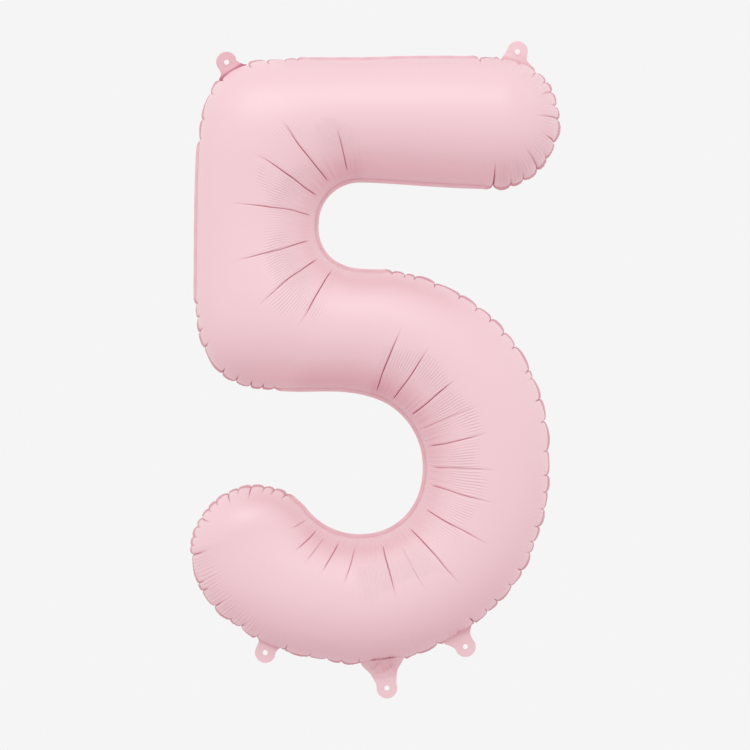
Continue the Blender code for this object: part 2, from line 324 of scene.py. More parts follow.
def cap_rim(which, shares):
    """Rim points, pole, directions and reaches of a round end's spokes, clockwise."""
    side_a, side_b = end_sides(which)
    pole = (side_a + side_b) / 2
    if which == "lobe":
        start, reach_of = side_a - pole, lobe_cap_reach
    else:
        start, reach_of = side_b - pole, arm_cap_reach
    first = math.degrees(math.atan2(start[1], start[0]))
    directions = polar(first - 180.0 * shares)
    reach = reach_of(shares, np.linalg.norm(start))
    return pole + directions * reach[:, None], pole, directions, reach


# ---- the rim as one loop
def lengths_along(points):
    steps = np.linalg.norm(np.diff(points, axis=0), axis=1)
    return np.concatenate(([0.0], np.cumsum(steps)))


class Rim:
    """The whole rim as one loop: side A, lobe end, side B backwards, arm end."""

    def __init__(self):
        self.places = np.linspace(0.0, STROKE_END, 8001)
        self.shares = np.linspace(0.0, 1.0, 801)
        side_a, side_b = stroke(self.places)
        lobe = cap_rim("lobe", self.shares)[0]
        arm = cap_rim("arm", self.shares)[0]
        parts = [lengths_along(part) for part in (side_a, lobe, side_b[::-1], arm)]
        self.along_a, self.along_lobe, self.along_b, self.along_arm = parts
        starts = np.cumsum([0.0, *(part[-1] for part in parts)])
        self.start_lobe, self.start_b, self.start_arm, self.total = starts[1:]
        self.points = np.concatenate((side_a, lobe, side_b[::-1], arm))
        self.rho = np.concatenate([start + part for start, part in zip(starts, parts)])
        ahead = unit(np.gradient(self.points, axis=0))
        self.rise = ahead[:, 0]  # how far the rim faces up, -1 to 1

    def on_a(self, places):
        return np.interp(places, self.places, self.along_a)

    def on_b(self, places):
        back = np.interp(-np.asarray(places), -self.places[::-1], self.along_b)
        return self.start_b + back

    def on_lobe(self, shares):
        return self.start_lobe + np.interp(shares, self.shares, self.along_lobe)

    def on_arm(self, shares):
        return self.start_arm + np.interp(shares, self.shares, self.along_arm)

    def nearest(self, point):
        away = np.linalg.norm(self.points - np.asarray(point), axis=1)
        return float(self.rho[np.argmin(away)])

    def place_of(self, rho):
        """The stroke place of a point of the rim on side A or B, or None on an end."""
        if rho <= self.start_lobe:
            return float(np.interp(rho, self.along_a, self.places))
        if self.start_b <= rho <= self.start_arm:
            return float(np.interp(rho - self.start_b, self.along_b, self.places[::-1]))
        return None

    def apart(self, rho, other):
        half = self.total / 2
        return (rho - other + half) % self.total - half


RIM = Rim()


class Crease:
    """A line running in from the rim at rho, with its start and end given in mm."""

    def __init__(self, rho, start, end, strength):
        self.rho = rho
        self.start = start * MM
        self.end = end * MM
        self.strength = strength


def on_rim(x, z):
    return RIM.nearest((x * MM, z * MM))


def long_creases(keys, centre, radius):
    return [Crease(RIM.nearest(centre + polar(key[0]) * radius), *key[1:]) for key in keys]


def rim_cusps(keys, centre, radius):
    return long_creases([(key[0], CUSP_START, *key[1:]) for key in keys], centre, radius)


LONG_CREASES = long_creases(NOTCH_CREASES, NOTCH, NOTCH_RADIUS)
LONG_CREASES += long_creases(BOWL_CREASES, BOWL, BOWL_INNER_REACH)
ARM_POLE = cap_rim("arm", np.zeros(1))[1]
LOBE_POLE = cap_rim("lobe", np.zeros(1))[1]
ARM_RUN = rim_cusps(ARM_CUSPS, ARM_POLE, ARM_REACH)
CUSP_RUNS = [
    rim_cusps(CORNER_TOP_CUSPS, NOTCH, CORNER_REACH),
    rim_cusps(CORNER_BOTTOM_CUSPS, NOTCH, CORNER_REACH),
    rim_cusps(BOWL_CUSPS, BOWL, BOWL_REACH) + rim_cusps(LOBE_CUSPS, LOBE_POLE, LOBE_REACH),
    ARM_RUN,
]
SWELLS = [(on_rim(x, z), reach * MM, out * MM) for x, z, reach, out in RIM_SWELLS]
RIPPLES = [(on_rim(x, z), *(size * MM for size in sizes)) for x, z, *sizes in RIM_RIPPLES]
LOBE_RIPPLES = (
    RIM.nearest(BOWL + polar(LOBE_GATHER[0]) * BOWL_REACH),
    RIM.nearest(LOBE_POLE + polar(LOBE_GATHER[1]) * LOBE_REACH),
)
for run in CUSP_RUNS:
    middle = run[len(run) // 2].rho
    run.sort(key=lambda cusp: RIM.apart(cusp.rho, middle))


# ---- tabs on the rim
# Each tab's sides in mm about its fold line: (across, outwards) from root to disc
TAB_SIDES = {
    "tab_top_left": (
        ((21.0, -6.5), (17.6, -4.2), (13.6, 1.5), (11.9, 6.5)),
        ((23.5, -6.5), (20.9, -2.4), (15.6, 1.2), (13.6, 6.2)),
    ),
    "tab_top_right": (
        ((27.0, -8.5), (21.0, -4.5), (14.6, 0.8), (13.5, 6.5)),
        ((21.0, -6.5), (18.1, -1.9), (16.2, 3.2), (13.7, 9.5)),
    ),
    "tab_bottom_left": (
        ((21.0, -6.5), (17.0, -4.3), (13.9, -1.0), (13.4, 4.5)),
        ((19.0, -7.5), (15.5, -4.4), (12.8, 1.0), (12.7, 5.5)),
    ),
    "tab_bottom_right": (
        ((29.0, -6.5), (22.5, 2.2), (16.2, 8.7), (13.2, 14.0)),
        ((21.5, -9.5), (16.5, -4.0), (12.7, 3.0), (12.8, 11.0)),
    ),
    "tab_tail": (
        ((33.0, -30.0), (28.0, -18.6), (19.6, -8.0), (13.7, 6.0)),
        ((33.0, -32.0), (24.0, -19.0), (16.4, -8.0), (13.4, 6.0)),
    ),
}


class Tab:
    """An eyelet tab, placed by its joint in the frame."""

    def __init__(self, node, reach, curl, shadow, tone=0.0):
        joint = [j for j in frame["joints"] if j["name"] == node.replace("tab_", "") + "_fold"][0]
        self.node = node
        self.body = joint["child"]
        self.root = Vector(joint["pos_m"])
        self.across = Vector(joint["axis"]).normalized()
        self.out = Vector((-self.across.z, 0.0, self.across.x))
        self.sides = TAB_SIDES[node]
        self.root_half = (self.sides[0][1][0] + self.sides[1][1][0]) / 2 * MM
        self.reach = reach
        self.curl = curl
        self.shadow = shadow
        self.tone = tone
        self.rho = RIM.nearest((self.root.x, self.root.z))


TAB_RADIUS = 0.0136
EYELET_RADIUS = 0.0033
EYELET_RINGS = (EYELET_RADIUS, 0.0040, 0.0048, 0.0058)
EYELET_CLEAR = 0.0066  # the mesh's even grid starts outside this
RING_POINTS = 36
TAB_HALF_SHEET = 0.0002
TAB_GRAIN = 0.0010  # spacing of a tab's mesh
BEADS = ((0.00030, 0.0043, 0.0006), (0.00012, 0.0108, 0.0009))  # height, radius, half width
TAB_SHARP = math.radians(55)
SKIN_SHARP = math.radians(75)
# Pinches in the tail: (across, outwards, lean)
TAIL_PINCHES = ((-0.0085, -0.0140, 0.9), (-0.0035, -0.0120, -0.3), (0.0105, -0.0175, 0.5))
TAIL_FLARE = 0.0220  # how far the tail's root stands off the seam
TAIL_FLARE_START = -0.0040
TAIL_FLARE_HALF = 0.031
TAIL_FLARE_END = -0.0315
TINY = 1e-12
# shadow paints shade at each tab's root; the last number paints even shade over a tab that faces away from
# the light
TABS = [
    Tab("tab_top_left", 0.0110, 0.0007, 0.85, 0.30),
    Tab("tab_top_right", 0.0098, -0.0005, 0.20, 0.05),
    Tab("tab_bottom_left", 0.0093, 0.0006, 0.35),
    Tab("tab_bottom_right", 0.0155, -0.0008, 0.30),
    Tab("tab_tail", 0.0135, 0.0005, 0.15),
]


def rounded(points, steps=10):
    """A smooth curve through a few points."""
    points = [2 * points[0] - points[1], *points, 2 * points[-1] - points[-2]]
    curve = []
    for before, start, end, after in zip(points, points[1:], points[2:], points[3:]):
        for step in range(steps):
            along = step / steps
            curve.append(hermite(along, start, (end - before) / 2, end, (after - start) / 2))
    curve.append(points[-2])
    return curve


def tab_outline(tab):
    """The tab's outline, once round: right side, disc, left side, root."""
    centre = np.array((0.0, tab.reach))
    sides = []
    for sign, keys in zip((1, -1), tab.sides):
        points = [np.array((sign * u, v)) * MM for u, v in keys]
        join = points[-1] - centre
        disc_start = math.degrees(math.atan2(join[1], join[0] * sign))
        sides.append((rounded(points), disc_start))
    (right, start), (left, other) = sides
    disc = [centre + polar(a) * TAB_RADIUS for a in np.linspace(start + 14, 166 - other, 70)]
    outline = right + disc + left[::-1]
    count = int(np.linalg.norm(outline[0] - outline[-1]) / TAB_GRAIN)
    outline += [outline[-1] + (outline[0] - outline[-1]) * k / count for k in range(1, count)]
    return outline


def inside(outline, points):
    """Which points lie inside a closed outline."""
    odd = np.zeros(len(points), bool)
    for (x1, y1), (x2, y2) in zip(outline, np.roll(outline, -1, axis=0)):
        crosses = (y1 > points[:, 1]) != (y2 > points[:, 1])
        slope = (x2 - x1) / (y2 - y1 if abs(y2 - y1) > TINY else TINY)
        odd ^= crosses & (points[:, 0] < x1 + slope * (points[:, 1] - y1))
    return odd


def tab_points(tab):
    """Points and triangles of the flat tab, with the eyelet left open."""
    outline = np.array(tab_outline(tab))
    centre = np.array((0.0, tab.reach))
    ring = polar(np.arange(0, 360, 360.0 / RING_POINTS))
    rings = [centre + ring * radius for radius in EYELET_RINGS]
    low = outline.min(0)
    high = outline.max(0)
    us = np.arange(low[0], high[0], TAB_GRAIN)
    vs = np.arange(low[1], high[1], TAB_GRAIN)
    grid = np.array([(u, v) for u in us for v in vs])
    away = np.linalg.norm(grid[:, None] - outline[None], axis=2).min(1)
    keep = inside(outline, grid) & (away > 0.6 * TAB_GRAIN)
    keep &= np.linalg.norm(grid - centre, axis=1) > EYELET_CLEAR
    points = np.concatenate((outline, *rings, grid[keep]))
    first = len(outline)
    edges = [(k, (k + 1) % first) for k in range(first)]
    edges += [(first + k, first + (k + 1) % RING_POINTS) for k in range(RING_POINTS)]
    flat, _, faces, _, _, _ = delaunay_2d_cdt([Vector(p) for p in points], edges, [], 0, 1e-7)
    flat = np.array([tuple(p) for p in flat])
    middles = np.array([flat[list(face)].mean(0) for face in faces])
    good = inside(outline, middles) & (np.linalg.norm(middles - centre, axis=1) > EYELET_RADIUS)
    return flat, [face for face, ok in zip(faces, good) if ok]


def add_tab(tab):
    """The tab as one thin closed piece, from under the weld out to its round end."""
    flat, faces = tab_points(tab)
    away = np.linalg.norm(flat - np.array((0.0, tab.reach)), axis=1)
    u, v = flat.T
    bead = sum(tall * np.exp(-(((away - radius) / half) ** 2)) for tall, radius, half in BEADS)
    wave = tab.curl * np.sin(u / 0.0085 + 0.6) * smooth((v + 0.001) / 0.008)
    shoulders = smooth((0.009 - v) / 0.006) * smooth((v + 0.004) / 0.004)
    wave += 0.00025 * np.sin(v / 0.0031 + u / 0.006) * shoulders
    tail = tab.node == "tab_tail"
    swell = tail_swell(u, v) if tail else 0.0
    across, out = np.array(tab.across), np.array(tab.out)
    place = np.array(tab.root) + u[:, None] * across + v[:, None] * out
    front, back = place.copy(), place.copy()
    front[:, 1] = wave - TAB_HALF_SHEET - bead - swell
    back[:, 1] = wave + TAB_HALF_SHEET + bead * 0.4 + swell
    count = len(flat)
    borders = {}
    for face in faces:
        for one, other in zip(face, (*face[1:], face[0])):
            borders[(one, other)] = borders.get((one, other), 0) + 1
    turned = [tuple(reversed(face)) for face in faces]
    walls = []
    for one, other in borders:
        if (other, one) not in borders:
            walls.append((one, other, other + count, one + count))
    behind = [tuple(k + count for k in face) for face in faces]
    mesh = bpy.data.meshes.new(tab.node)
    mesh.from_pydata(np.concatenate((front, back)).tolist(), [], turned + behind + walls)
    # painted shade: at the tab's root, over the whole tab, and in the tail's folds and pinches
    dark = np.maximum(tab.tone, tab.shadow * smooth((0.0035 - v) / 0.0070))
    if tail:
        dark = dark + 0.10 * np.clip(-tail_crumple(u, v) - 0.3, 0, 1) + 0.35 * tail_pinch(u, v)
    name = tab.node.replace("tab_", "eyelet_tab_")
    item = finish_mesh(mesh, name, {"crease": np.concatenate((dark, dark))}, TAB_SHARP)
    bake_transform(item)
    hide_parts(tab.node)
    return item


def finish_mesh(mesh, name, values, sharp):
    """An object of this mesh, facing outwards, with the values given to its points."""
    mesh.shade_smooth()
    for label, amounts in values.items():
        layer = mesh.attributes.new(label, "FLOAT", "POINT")
        layer.data.foreach_set("value", amounts.ravel().astype(np.float32))
    item = bpy.data.objects.new(name, mesh)
    bpy.context.scene.collection.objects.link(item)
    work = bmesh.new()
    work.from_mesh(mesh)
    bmesh.ops.recalc_face_normals(work, faces=work.faces)
    work.to_mesh(mesh)
    work.free()
    mesh.set_sharp_from_angle(angle=sharp)
    return item


def tail_crumple(u, v):
    """Soft folds running down the tail, -1 to 1 or so."""
    folds = np.sin(u / 0.0019 + v / 0.004) * 0.6 + np.sin(u / 0.0036 - v / 0.0027 + 1.0)
    return folds * smooth((-v - 0.001) / 0.006) * smooth((0.020 - np.abs(u)) / 0.006)


def tail_pinch(u, v):
    """Short pinches in the tail, 0 to 1: they dent the foil and carry painted shade."""
    total = np.zeros_like(u)
    for across, along, lean in TAIL_PINCHES:
        off = (u - across) - lean * (v - along)
        total += np.exp(-((off / 0.0008) ** 2) - ((v - along) / 0.0030) ** 2)
    return np.clip(total, 0.0, 1.0)


def tail_swell(u, v):
    """The unwelded tail fairs into the balloon, with a few soft crumples."""
    root = np.clip((TAIL_FLARE_START - v) / 0.0220, 0.0, 1.1)
    swell = TAIL_FLARE * root**2 * smooth((TAIL_FLARE_HALF - np.abs(u)) / 0.020)
    swell *= smooth((v - TAIL_FLARE_END) / 0.0045)
    swell += 0.00075 * tail_crumple(u, v)
    swell += 0.0007 * smooth((0.002 - v) / 0.005)
    return np.maximum(swell - 0.0006 * tail_pinch(u, v), 0.0005 * smooth(-v / 0.002))


# ---- relief of the foil
RUN_EASE = 0.016
BEND_EASE = 0.015
EDGE_EASE = 0.03
ARM_BOLDNESS = 1.35  # the arm's scallops against the others
OFF = 0.03  # added to a distance to put a place out of a crease's reach
CREASE_GROOVES = ((0.0014, 0.0009), (0.0010, 0.0070))  # depth, half width
CREASE_LIPS = ((0.0005, 0.0022, 0.0016), (0.0002, -0.0030, 0.0022))  # height, aside, width
CREASE_TWINS = ((0.00028, 0.0032), (0.00022, -0.0036))  # at its inner end: depth, aside
TWIN_WIDTH = 0.0018
CUSP_GROOVES = ((0.0008, 0.0010), (0.0008, 0.0040))
# Painted shade towards the edges, 0 to 1, and how far in each one fades out
EDGE_SHADE = 0.02
BEND_SHADE = 0.09
NOTCH_LESS = 0.06
UNDER_MORE = 0.10
LOWER_REACH = 0.046
UPPER_SHADE = 0.13
UPPER_REACH = 0.024
SEAM_SHADE = 0.09
SEAM_REACH = 0.013
WELD_SHADE = 0.50


def cusp_profile(amount):
    return np.clip(1.0 - amount, 0.0, 1.0) ** 2


def bell(amount):
    return np.exp(-(amount**2))


def ripple(rho, pitch, drift, period):
    """A wave along the rim whose pitch drifts."""
    turn = 2 * math.pi * rho
    return np.sin(turn / pitch + drift * np.sin(turn / period))


def along_run(rho, run):
    """Length along the rim from the middle cusp of a run."""
    return RIM.apart(rho, run[len(run) // 2].rho)


def run_weight(rho, run):
    """1 inside a run of cusps, easing to 0 past both ends."""
    here, first, last = (along_run(place, run) for place in (rho, run[0].rho, run[-1].rho))
    start = smooth((here - first + RUN_EASE) / RUN_EASE)
    return start * smooth((last + RUN_EASE - here) / RUN_EASE)


def scallops(rho):
    """How far the rim swells between its cusps, and the pitch there."""
    swell = np.zeros_like(rho)
    pitch = np.full_like(rho, 0.02)
    for run in CUSP_RUNS:
        here = along_run(rho, run)
        marks = np.array([along_run(cusp.rho, run) for cusp in run])
        marks = np.concatenate(([marks[0] - 0.03], marks, [marks[-1] + 0.03]))
        within = (here > marks[0]) & (here < marks[-1])
        low = np.clip(np.searchsorted(marks, here) - 1, 0, len(marks) - 2)
        span = marks[low + 1] - marks[low]
        part = np.clip((here - marks[low]) / span, 0.0, 1.0)
        shape = np.clip(4 * part * (1 - part), 0, 1) ** 0.6 - 0.45
        bold = ARM_BOLDNESS if run is ARM_RUN else 1.0
        size = bold * np.minimum(0.10 * span + 0.0008, 0.0034)
        size = size * (0.85 + 0.35 * np.sin(here / 0.0137 + 1.3) * np.sin(here / 0.0311))
        weight = run_weight(rho, run)
        swell = np.where(within, swell + weight * size * shape, swell)
        pitch = np.where(within, span, pitch)
    return swell, pitch


def pucker(rho):
    total = np.zeros_like(rho)
    for run in CUSP_RUNS:
        total = np.maximum(total, run_weight(rho, run))
    return total


def bend_weight(rho):
    """1 along the inner edges of the bends, where the foil crinkles."""
    total = np.zeros_like(rho)
    for low, high in ((RIM.on_a(1.0), RIM.on_a(2.05)), (RIM.on_b(3.93), RIM.on_b(3.0))):
        start = smooth((rho - low) / BEND_EASE + 0.5)
        total = np.maximum(total, start * smooth((high - rho) / BEND_EASE + 0.5))
    return total


def edge_places(rho):
    """Painted shade under the arm and the bar, 1 along the arm's top, and 1 round the notch."""
    arm = smooth((RIM.on_a(1.0) - rho) / EDGE_EASE)
    bar = smooth((rho - RIM.on_b(3.1)) / EDGE_EASE) * smooth((RIM.on_b(2.0) - rho) / EDGE_EASE)
    upper = smooth((rho - RIM.on_b(1.2)) / EDGE_EASE)
    upper = upper * smooth((RIM.start_arm + EDGE_EASE - rho) / EDGE_EASE)
    notch = smooth((RIM.on_a(2.2) - rho) / EDGE_EASE)
    return 0.07 - 0.05 * arm + 0.12 * bar, upper, notch


def relief(rho, plan, arc, spread, back):
    """Height of the foil's relief and the painted shade of its creases, cusps and edges, seen from one
    side's rim.
    """
    swell, pitch = scallops(rho)
    height = swell * np.exp(-((arc / (0.45 * pitch + 0.006)) ** 1.5))
    for place, reach, amount in SWELLS:
        hill = amount * bell(RIM.apart(rho, place) / reach)
        height += hill * bell(arc / 0.035)
    shade = np.zeros_like(rho)
    narrow = OFF * smooth((0.45 - spread) / 0.2)
    for number, crease in enumerate(LONG_CREASES):
        press_crease(height, shade, number, crease, rho, plan, spread, narrow, back)
    shade_edges(shade, rho, plan, arc)
    for crease in (cusp for run in CUSP_RUNS for cusp in run):
        press_cusp(height, shade, crease, rho, plan, spread, narrow)
    add_ripples(height, rho, plan)
    return height, shade


def press_crease(height, shade, number, crease, rho, plan, spread, narrow, back):
    """One long crease into the arrays, moved and stretched a little on the back."""
    shift = 0.0025 * math.sin(7.1 * number) if back else 0.0
    stretch = 1.0 + (0.18 * math.sin(3.7 * number + 1) if back else 0.0)
    end = crease.end * stretch
    length = end - crease.start
    wander = 0.0007 * np.sin(plan / 0.021 + 2.3 * number)
    wander = wander + 0.00012 * np.sin(plan / 0.0065 + number)
    apart = RIM.apart(rho, crease.rho + shift) + wander * smooth(plan / 0.03)
    side = apart * spread
    across = np.abs(side) + OFF * smooth((np.abs(apart) - 0.012) / 0.010) + narrow
    grow = smooth((plan - crease.start + 0.001) / 0.006)
    fade = smooth((end - plan) / (0.42 * length))
    tip = smooth((plan - crease.start - 0.5 * length) / (0.25 * length))
    tip *= smooth((end * 1.1 - plan) / (0.2 * length))
    line = grow * fade * crease.strength
    for depth, width in CREASE_GROOVES:
        height -= line * depth * cusp_profile(across / width)
    for tall, aside, width in CREASE_LIPS:
        height += line * tall * bell((side - aside) / width)
    for depth, aside in CREASE_TWINS:
        twin = np.abs(side - aside) / TWIN_WIDTH
        height -= tip * crease.strength * depth * cusp_profile(twin)
    # painted shade along the crease's dark line
    np.maximum(shade, line * np.clip(1.35 - across / 0.0007, 0, 1), out=shade)


def press_cusp(height, shade, cusp, rho, plan, spread, narrow):
    """One cusp of the rim, with the short pleat that runs in from it."""
    apart = np.abs(RIM.apart(rho, cusp.rho))
    across = apart * spread + OFF * smooth((apart - 0.008) / 0.006) + narrow
    line = smooth((cusp.end - plan) / (0.9 * cusp.end)) * cusp.strength
    for depth, width in CUSP_GROOVES:
        height -= line * depth * cusp_profile(across / width)
    # painted shade along the cusp's pleat
    np.maximum(shade, line * np.clip(1.2 - across / 0.0010, 0, 1), out=shade)


def shade_edges(shade, rho, plan, arc):
    """Painted shade, slightly darker and redder foil, towards the edges and along the weld line."""
    under = 0.5 - 0.5 * np.interp(rho, RIM.rho, RIM.rise)
    lower, upper, notch = edge_places(rho)
    bend = (BEND_SHADE - NOTCH_LESS * notch + UNDER_MORE * under) * bend_weight(rho)
    edge = EDGE_SHADE + bend + lower * under**2
    clear = (flange_width(rho) - TAB_FLANGE) / (1 - TAB_FLANGE)
    gathered = pucker(rho)
    # painted shade: general edge, arm top, straight seams and the weld line under the curled rim
    for shade_tint, fade in (
        (edge, (LOWER_REACH - plan) / LOWER_REACH),
        (UPPER_SHADE * upper, (UPPER_REACH - plan) / UPPER_REACH),
        (SEAM_SHADE * (1 - gathered) * clear, (SEAM_REACH - plan) / 0.012),
        (WELD_SHADE * gathered * clear, (0.0022 - arc) / 0.0018),
    ):
        np.maximum(shade, shade_tint * smooth(fade), out=shade)


def add_ripples(height, rho, plan):
    """Crinkles in the bends, fine ripples by the puckers, and the deeper gathers."""
    crinkle = ripple(rho, 0.0060, 1.7, 0.031)
    crinkle *= 0.65 + 0.35 * np.sin(2 * math.pi * rho / 0.023 + 1.0)
    patch = smooth((plan - 0.001) / 0.006) * smooth((0.042 - plan) / 0.030)
    height += 0.00032 * crinkle * patch * bend_weight(rho)
    at_arm = run_weight(rho, ARM_RUN)
    near = smooth((0.020 + 0.012 * at_arm - plan) / 0.016) * pucker(rho)
    height += (0.00015 + 0.00020 * at_arm) * ripple(rho, 0.0043, 2.0, 0.027) * near
    grow = smooth((plan + 0.001) / 0.003)
    for place, reach, deep, tall, period in RIPPLES:
        away = RIM.apart(rho, place)
        gather = tall * np.sin(2 * math.pi * away / period + 1.1 * np.sin(away / 0.004))
        gather *= np.exp(-((away / reach) ** 4)) * smooth((deep - plan) / (0.7 * deep))
        height += gather * grow
    low = RIM.apart(rho, LOBE_RIPPLES[0])
    high = RIM.apart(LOBE_RIPPLES[1], rho)
    here = smooth(low / 0.020) * smooth(high / 0.030)
    comb = ripple(rho, 0.0049, 1.3, 0.041)
    height += 0.00045 * comb * here * smooth((0.040 - plan) / 0.030) * grow


# ---- the skins
def crown(length):
    return DEPTH_RATIO / 2 * STROKE * (length / STROKE) ** CORNER_FULLNESS


def column_angles(count):
    part = np.linspace(0.0, 1.0, count + 1)
    return math.pi * (part - CROWD * np.sin(2 * math.pi * part))


def station_places():
    """Stroke places of the ribs, closer together beside each crease and cusp."""
    fine = [(RIM.place_of(crease.rho), *CREASE_SPACING) for crease in LONG_CREASES]
    cusps = [RIM.place_of(cusp.rho) for run in CUSP_RUNS for cusp in run]
    fine += [(place, *CUSP_SPACING) for place in cusps if place is not None]
    dense = RIM.places
    side_a, side_b = stroke(dense)
    middle = (side_a + side_b) / 2
    along_middle = lengths_along(middle)
    spacing = np.where(dense < ARM_SPACED, ARM_SPACING, SPACING)
    for place, finest, near, stretch in fine:
        centre = np.interp(place, dense, along_middle)
        away = np.abs(along_middle - centre)
        local = finest + (near - finest) * np.clip(away / SPACING_NEAR, 0, 1) ** 1.5
        local = local + np.clip(away - SPACING_NEAR, 0, None) * SPACING_GROWTH
        spacing = np.minimum(spacing, local * stretch)
    ripples = RIM.place_of(LOBE_RIPPLES[0])
    near_lobe = smooth((dense - ripples + 0.05) / 0.05)
    spacing = np.minimum(spacing, BOWL_SPACING - 0.0016 * near_lobe)
    for place, reach, *_ in RIPPLES:
        centre = np.interp(RIM.place_of(place), dense, along_middle)
        near = smooth((1.2 * reach - np.abs(along_middle - centre)) / 0.006)
        spacing = np.minimum(spacing, SPACING - 0.0019 * near)
    marks = sorted({0.0, STROKE_END, *(f[0] for f in fine)})
    density = 1.0 / spacing
    steps = np.diff(along_middle) * (density[1:] + density[:-1]) / 2
    mass = np.concatenate(([0.0], np.cumsum(steps)))
    places = []
    for low, high in zip(marks, marks[1:]):
        mass_low, mass_high = np.interp((low, high), dense, mass)
        count = max(int(round(mass_high - mass_low)), 1)
        targets = np.linspace(mass_low, mass_high, count + 1)[:-1]
        places.extend(np.interp(targets, mass, dense))
    places.append(STROKE_END)
    return np.array(places)


def flange_width(rho):
    width = np.full_like(rho, 1.0)
    for tab in TABS:
        away = np.abs(RIM.apart(rho, tab.rho))
        past = smooth((away - tab.root_half + 0.001) / 0.009)
        width = np.minimum(width, TAB_FLANGE + (1 - TAB_FLANGE) * past)
    return width


def flange_tilt(rho):
    """The puckered rim curls back out of the seam plane, in radians."""
    tilt = np.radians(53.0 + 11.0 * np.sin(2 * math.pi * rho / 0.057)) * pucker(rho)
    for tab in TABS:
        away = np.abs(RIM.apart(rho, tab.rho))
        tilt *= smooth((away - tab.root_half) / 0.012)
    return tilt


def flange_shade(rho, back):
    return 0.08 + (0.20 if back else 0.36) * pucker(rho)


def flange_points(weld, outward, rho):
    """The rim beyond a weld line, as columns going outwards."""
    tilt = flange_tilt(rho)
    width = flange_width(rho)
    wave = 0.00035 * np.sin(2 * math.pi * rho / 0.034) * (1 - pucker(rho))
    columns = []
    for step in FLANGE_STEPS:
        part = step / FLANGE
        lean = tilt * smooth(part * 1.6)
        place = weld + outward * (step * width * np.cos(lean))[:, None]
        place[:, 1] += step * width * np.sin(lean) + wave * part**2
        columns.append(place)
    return columns


def plane(points, y=0.0):
    """Points of the seam plane as (x, y, z)."""
    return np.stack((points[..., 0], np.broadcast_to(y, points.shape[:-1]), points[..., 1]), -1)


def weld_line(weld, outward, lift, facing):
    line = plane(weld) + outward * lift[:, None]
    line[:, 1] = facing * (SEAM_HALF_GAP + SHEET)
    return line


def arcs_across(base):
    """Length along each rib from its first column."""
    steps = np.linalg.norm(np.diff(base, axis=1), axis=-1)
    return np.concatenate((np.zeros((len(base), 1)), np.cumsum(steps, axis=1)), axis=1)


def surface(base, over, at, facing):
    """The foil's outward direction, and its speed along the rim, at each point."""
    along = np.gradient(base, at, axis=0)
    normal = unit(np.cross(along, over)) * facing
    return normal, np.linalg.norm(along, axis=-1)


def fold_relief(rho, plan, arc, speed, at, back):
    """The relief of a grid as seen from the rim at rho, one value to each row."""
    spread = speed / np.abs(np.gradient(rho, at))[:, None]
    return relief(np.broadcast_to(rho[:, None], plan.shape), plan, arc, spread, back)


def main_grid(places, angles, back):
    """Foil over the stroke: vertices, UVs and crease shade, by station and column."""
    facing = 1.0 if back else -1.0
    side_a, side_b = stroke(places)
    inward = unit(side_b - side_a)
    weld_a = side_a + inward * FLANGE
    weld_b = side_b - inward * FLANGE
    half = (weld_b - weld_a) / 2
    middle = (weld_a + weld_b) / 2
    half_length = np.linalg.norm(half, axis=1)
    ease = 1 - (1 - LOBE_HEIGHT) * smooth((places - (STROKE_END - LOBE_EASE)) / LOBE_EASE)
    height = crown(half_length * 2) * ease
    flat = middle[:, None, :] - half[:, None, :] * np.cos(angles)[None, :, None]
    depth = SEAM_HALF_GAP + SHEET + height[:, None] * np.sin(angles)[None, :]
    base = plane(flat)
    base[..., 1] = facing * depth
    over = plane(half[:, None, :] * np.sin(angles)[None, :, None])
    over[..., 1] = facing * height[:, None] * np.cos(angles)[None, :]
    normal, speed = surface(base, over, places, facing)
    rhos = RIM.on_a(places), RIM.on_b(places)
    arc = arcs_across(base)
    plans = [half_length[:, None] * (1 + sign * np.cos(angles))[None, :] for sign in (-1, 1)]
    lift_a, shade_a = fold_relief(rhos[0], plans[0], arc, speed, places, back)
    lift_b, shade_b = fold_relief(rhos[1], plans[1], arc[:, -1:] - arc, speed, places, back)
    lift = lift_a + lift_b
    foil = base + normal * lift[..., None]
    rims = []
    for rho, weld, outward, column in (
        (rhos[0], weld_a, -plane(inward), 0),
        (rhos[1], weld_b, plane(inward), -1),
    ):
        foil[:, column] = weld_line(weld, outward, lift[:, column], facing)
        rims.append(flange_points(foil[:, column], outward, rho))
    grid = np.stack([*rims[0][::-1], *foil.swapaxes(0, 1), *rims[1]], axis=1)
    blank = np.zeros((len(places), len(FLANGE_STEPS)))
    dark_a, dark_b = (blank + flange_shade(rho, back)[:, None] for rho in rhos)
    shade = np.concatenate((dark_a, np.maximum(shade_a, shade_b), dark_b), axis=1)
    far = plans[0][:, -1:]
    reach = PATCH_REACH + PATCH_DRIFT * np.sin(places * 41.0)[:, None]
    patch = 0.0
    for rho, plan in zip(rhos, plans):
        part = smooth((plan - 0.014) / 0.034) * smooth((reach * far / 2 - plan) / 0.006)
        patch = patch + part * bend_weight(rho)[:, None]
    calm = (1 - 0.8 * smooth((places - 3.70) / 0.15))[:, None]
    weight = np.concatenate((blank, patch * calm, blank), axis=1)
    along_u = np.broadcast_to(lengths_along(middle)[:, None], grid.shape[:2])
    rim_v = blank - FLANGE_STEPS
    across = np.concatenate((rim_v[:, ::-1], np.minimum(*plans), rim_v), axis=1)
    return grid, along_u, across, shade, weight, base - normal * LINING_INSET


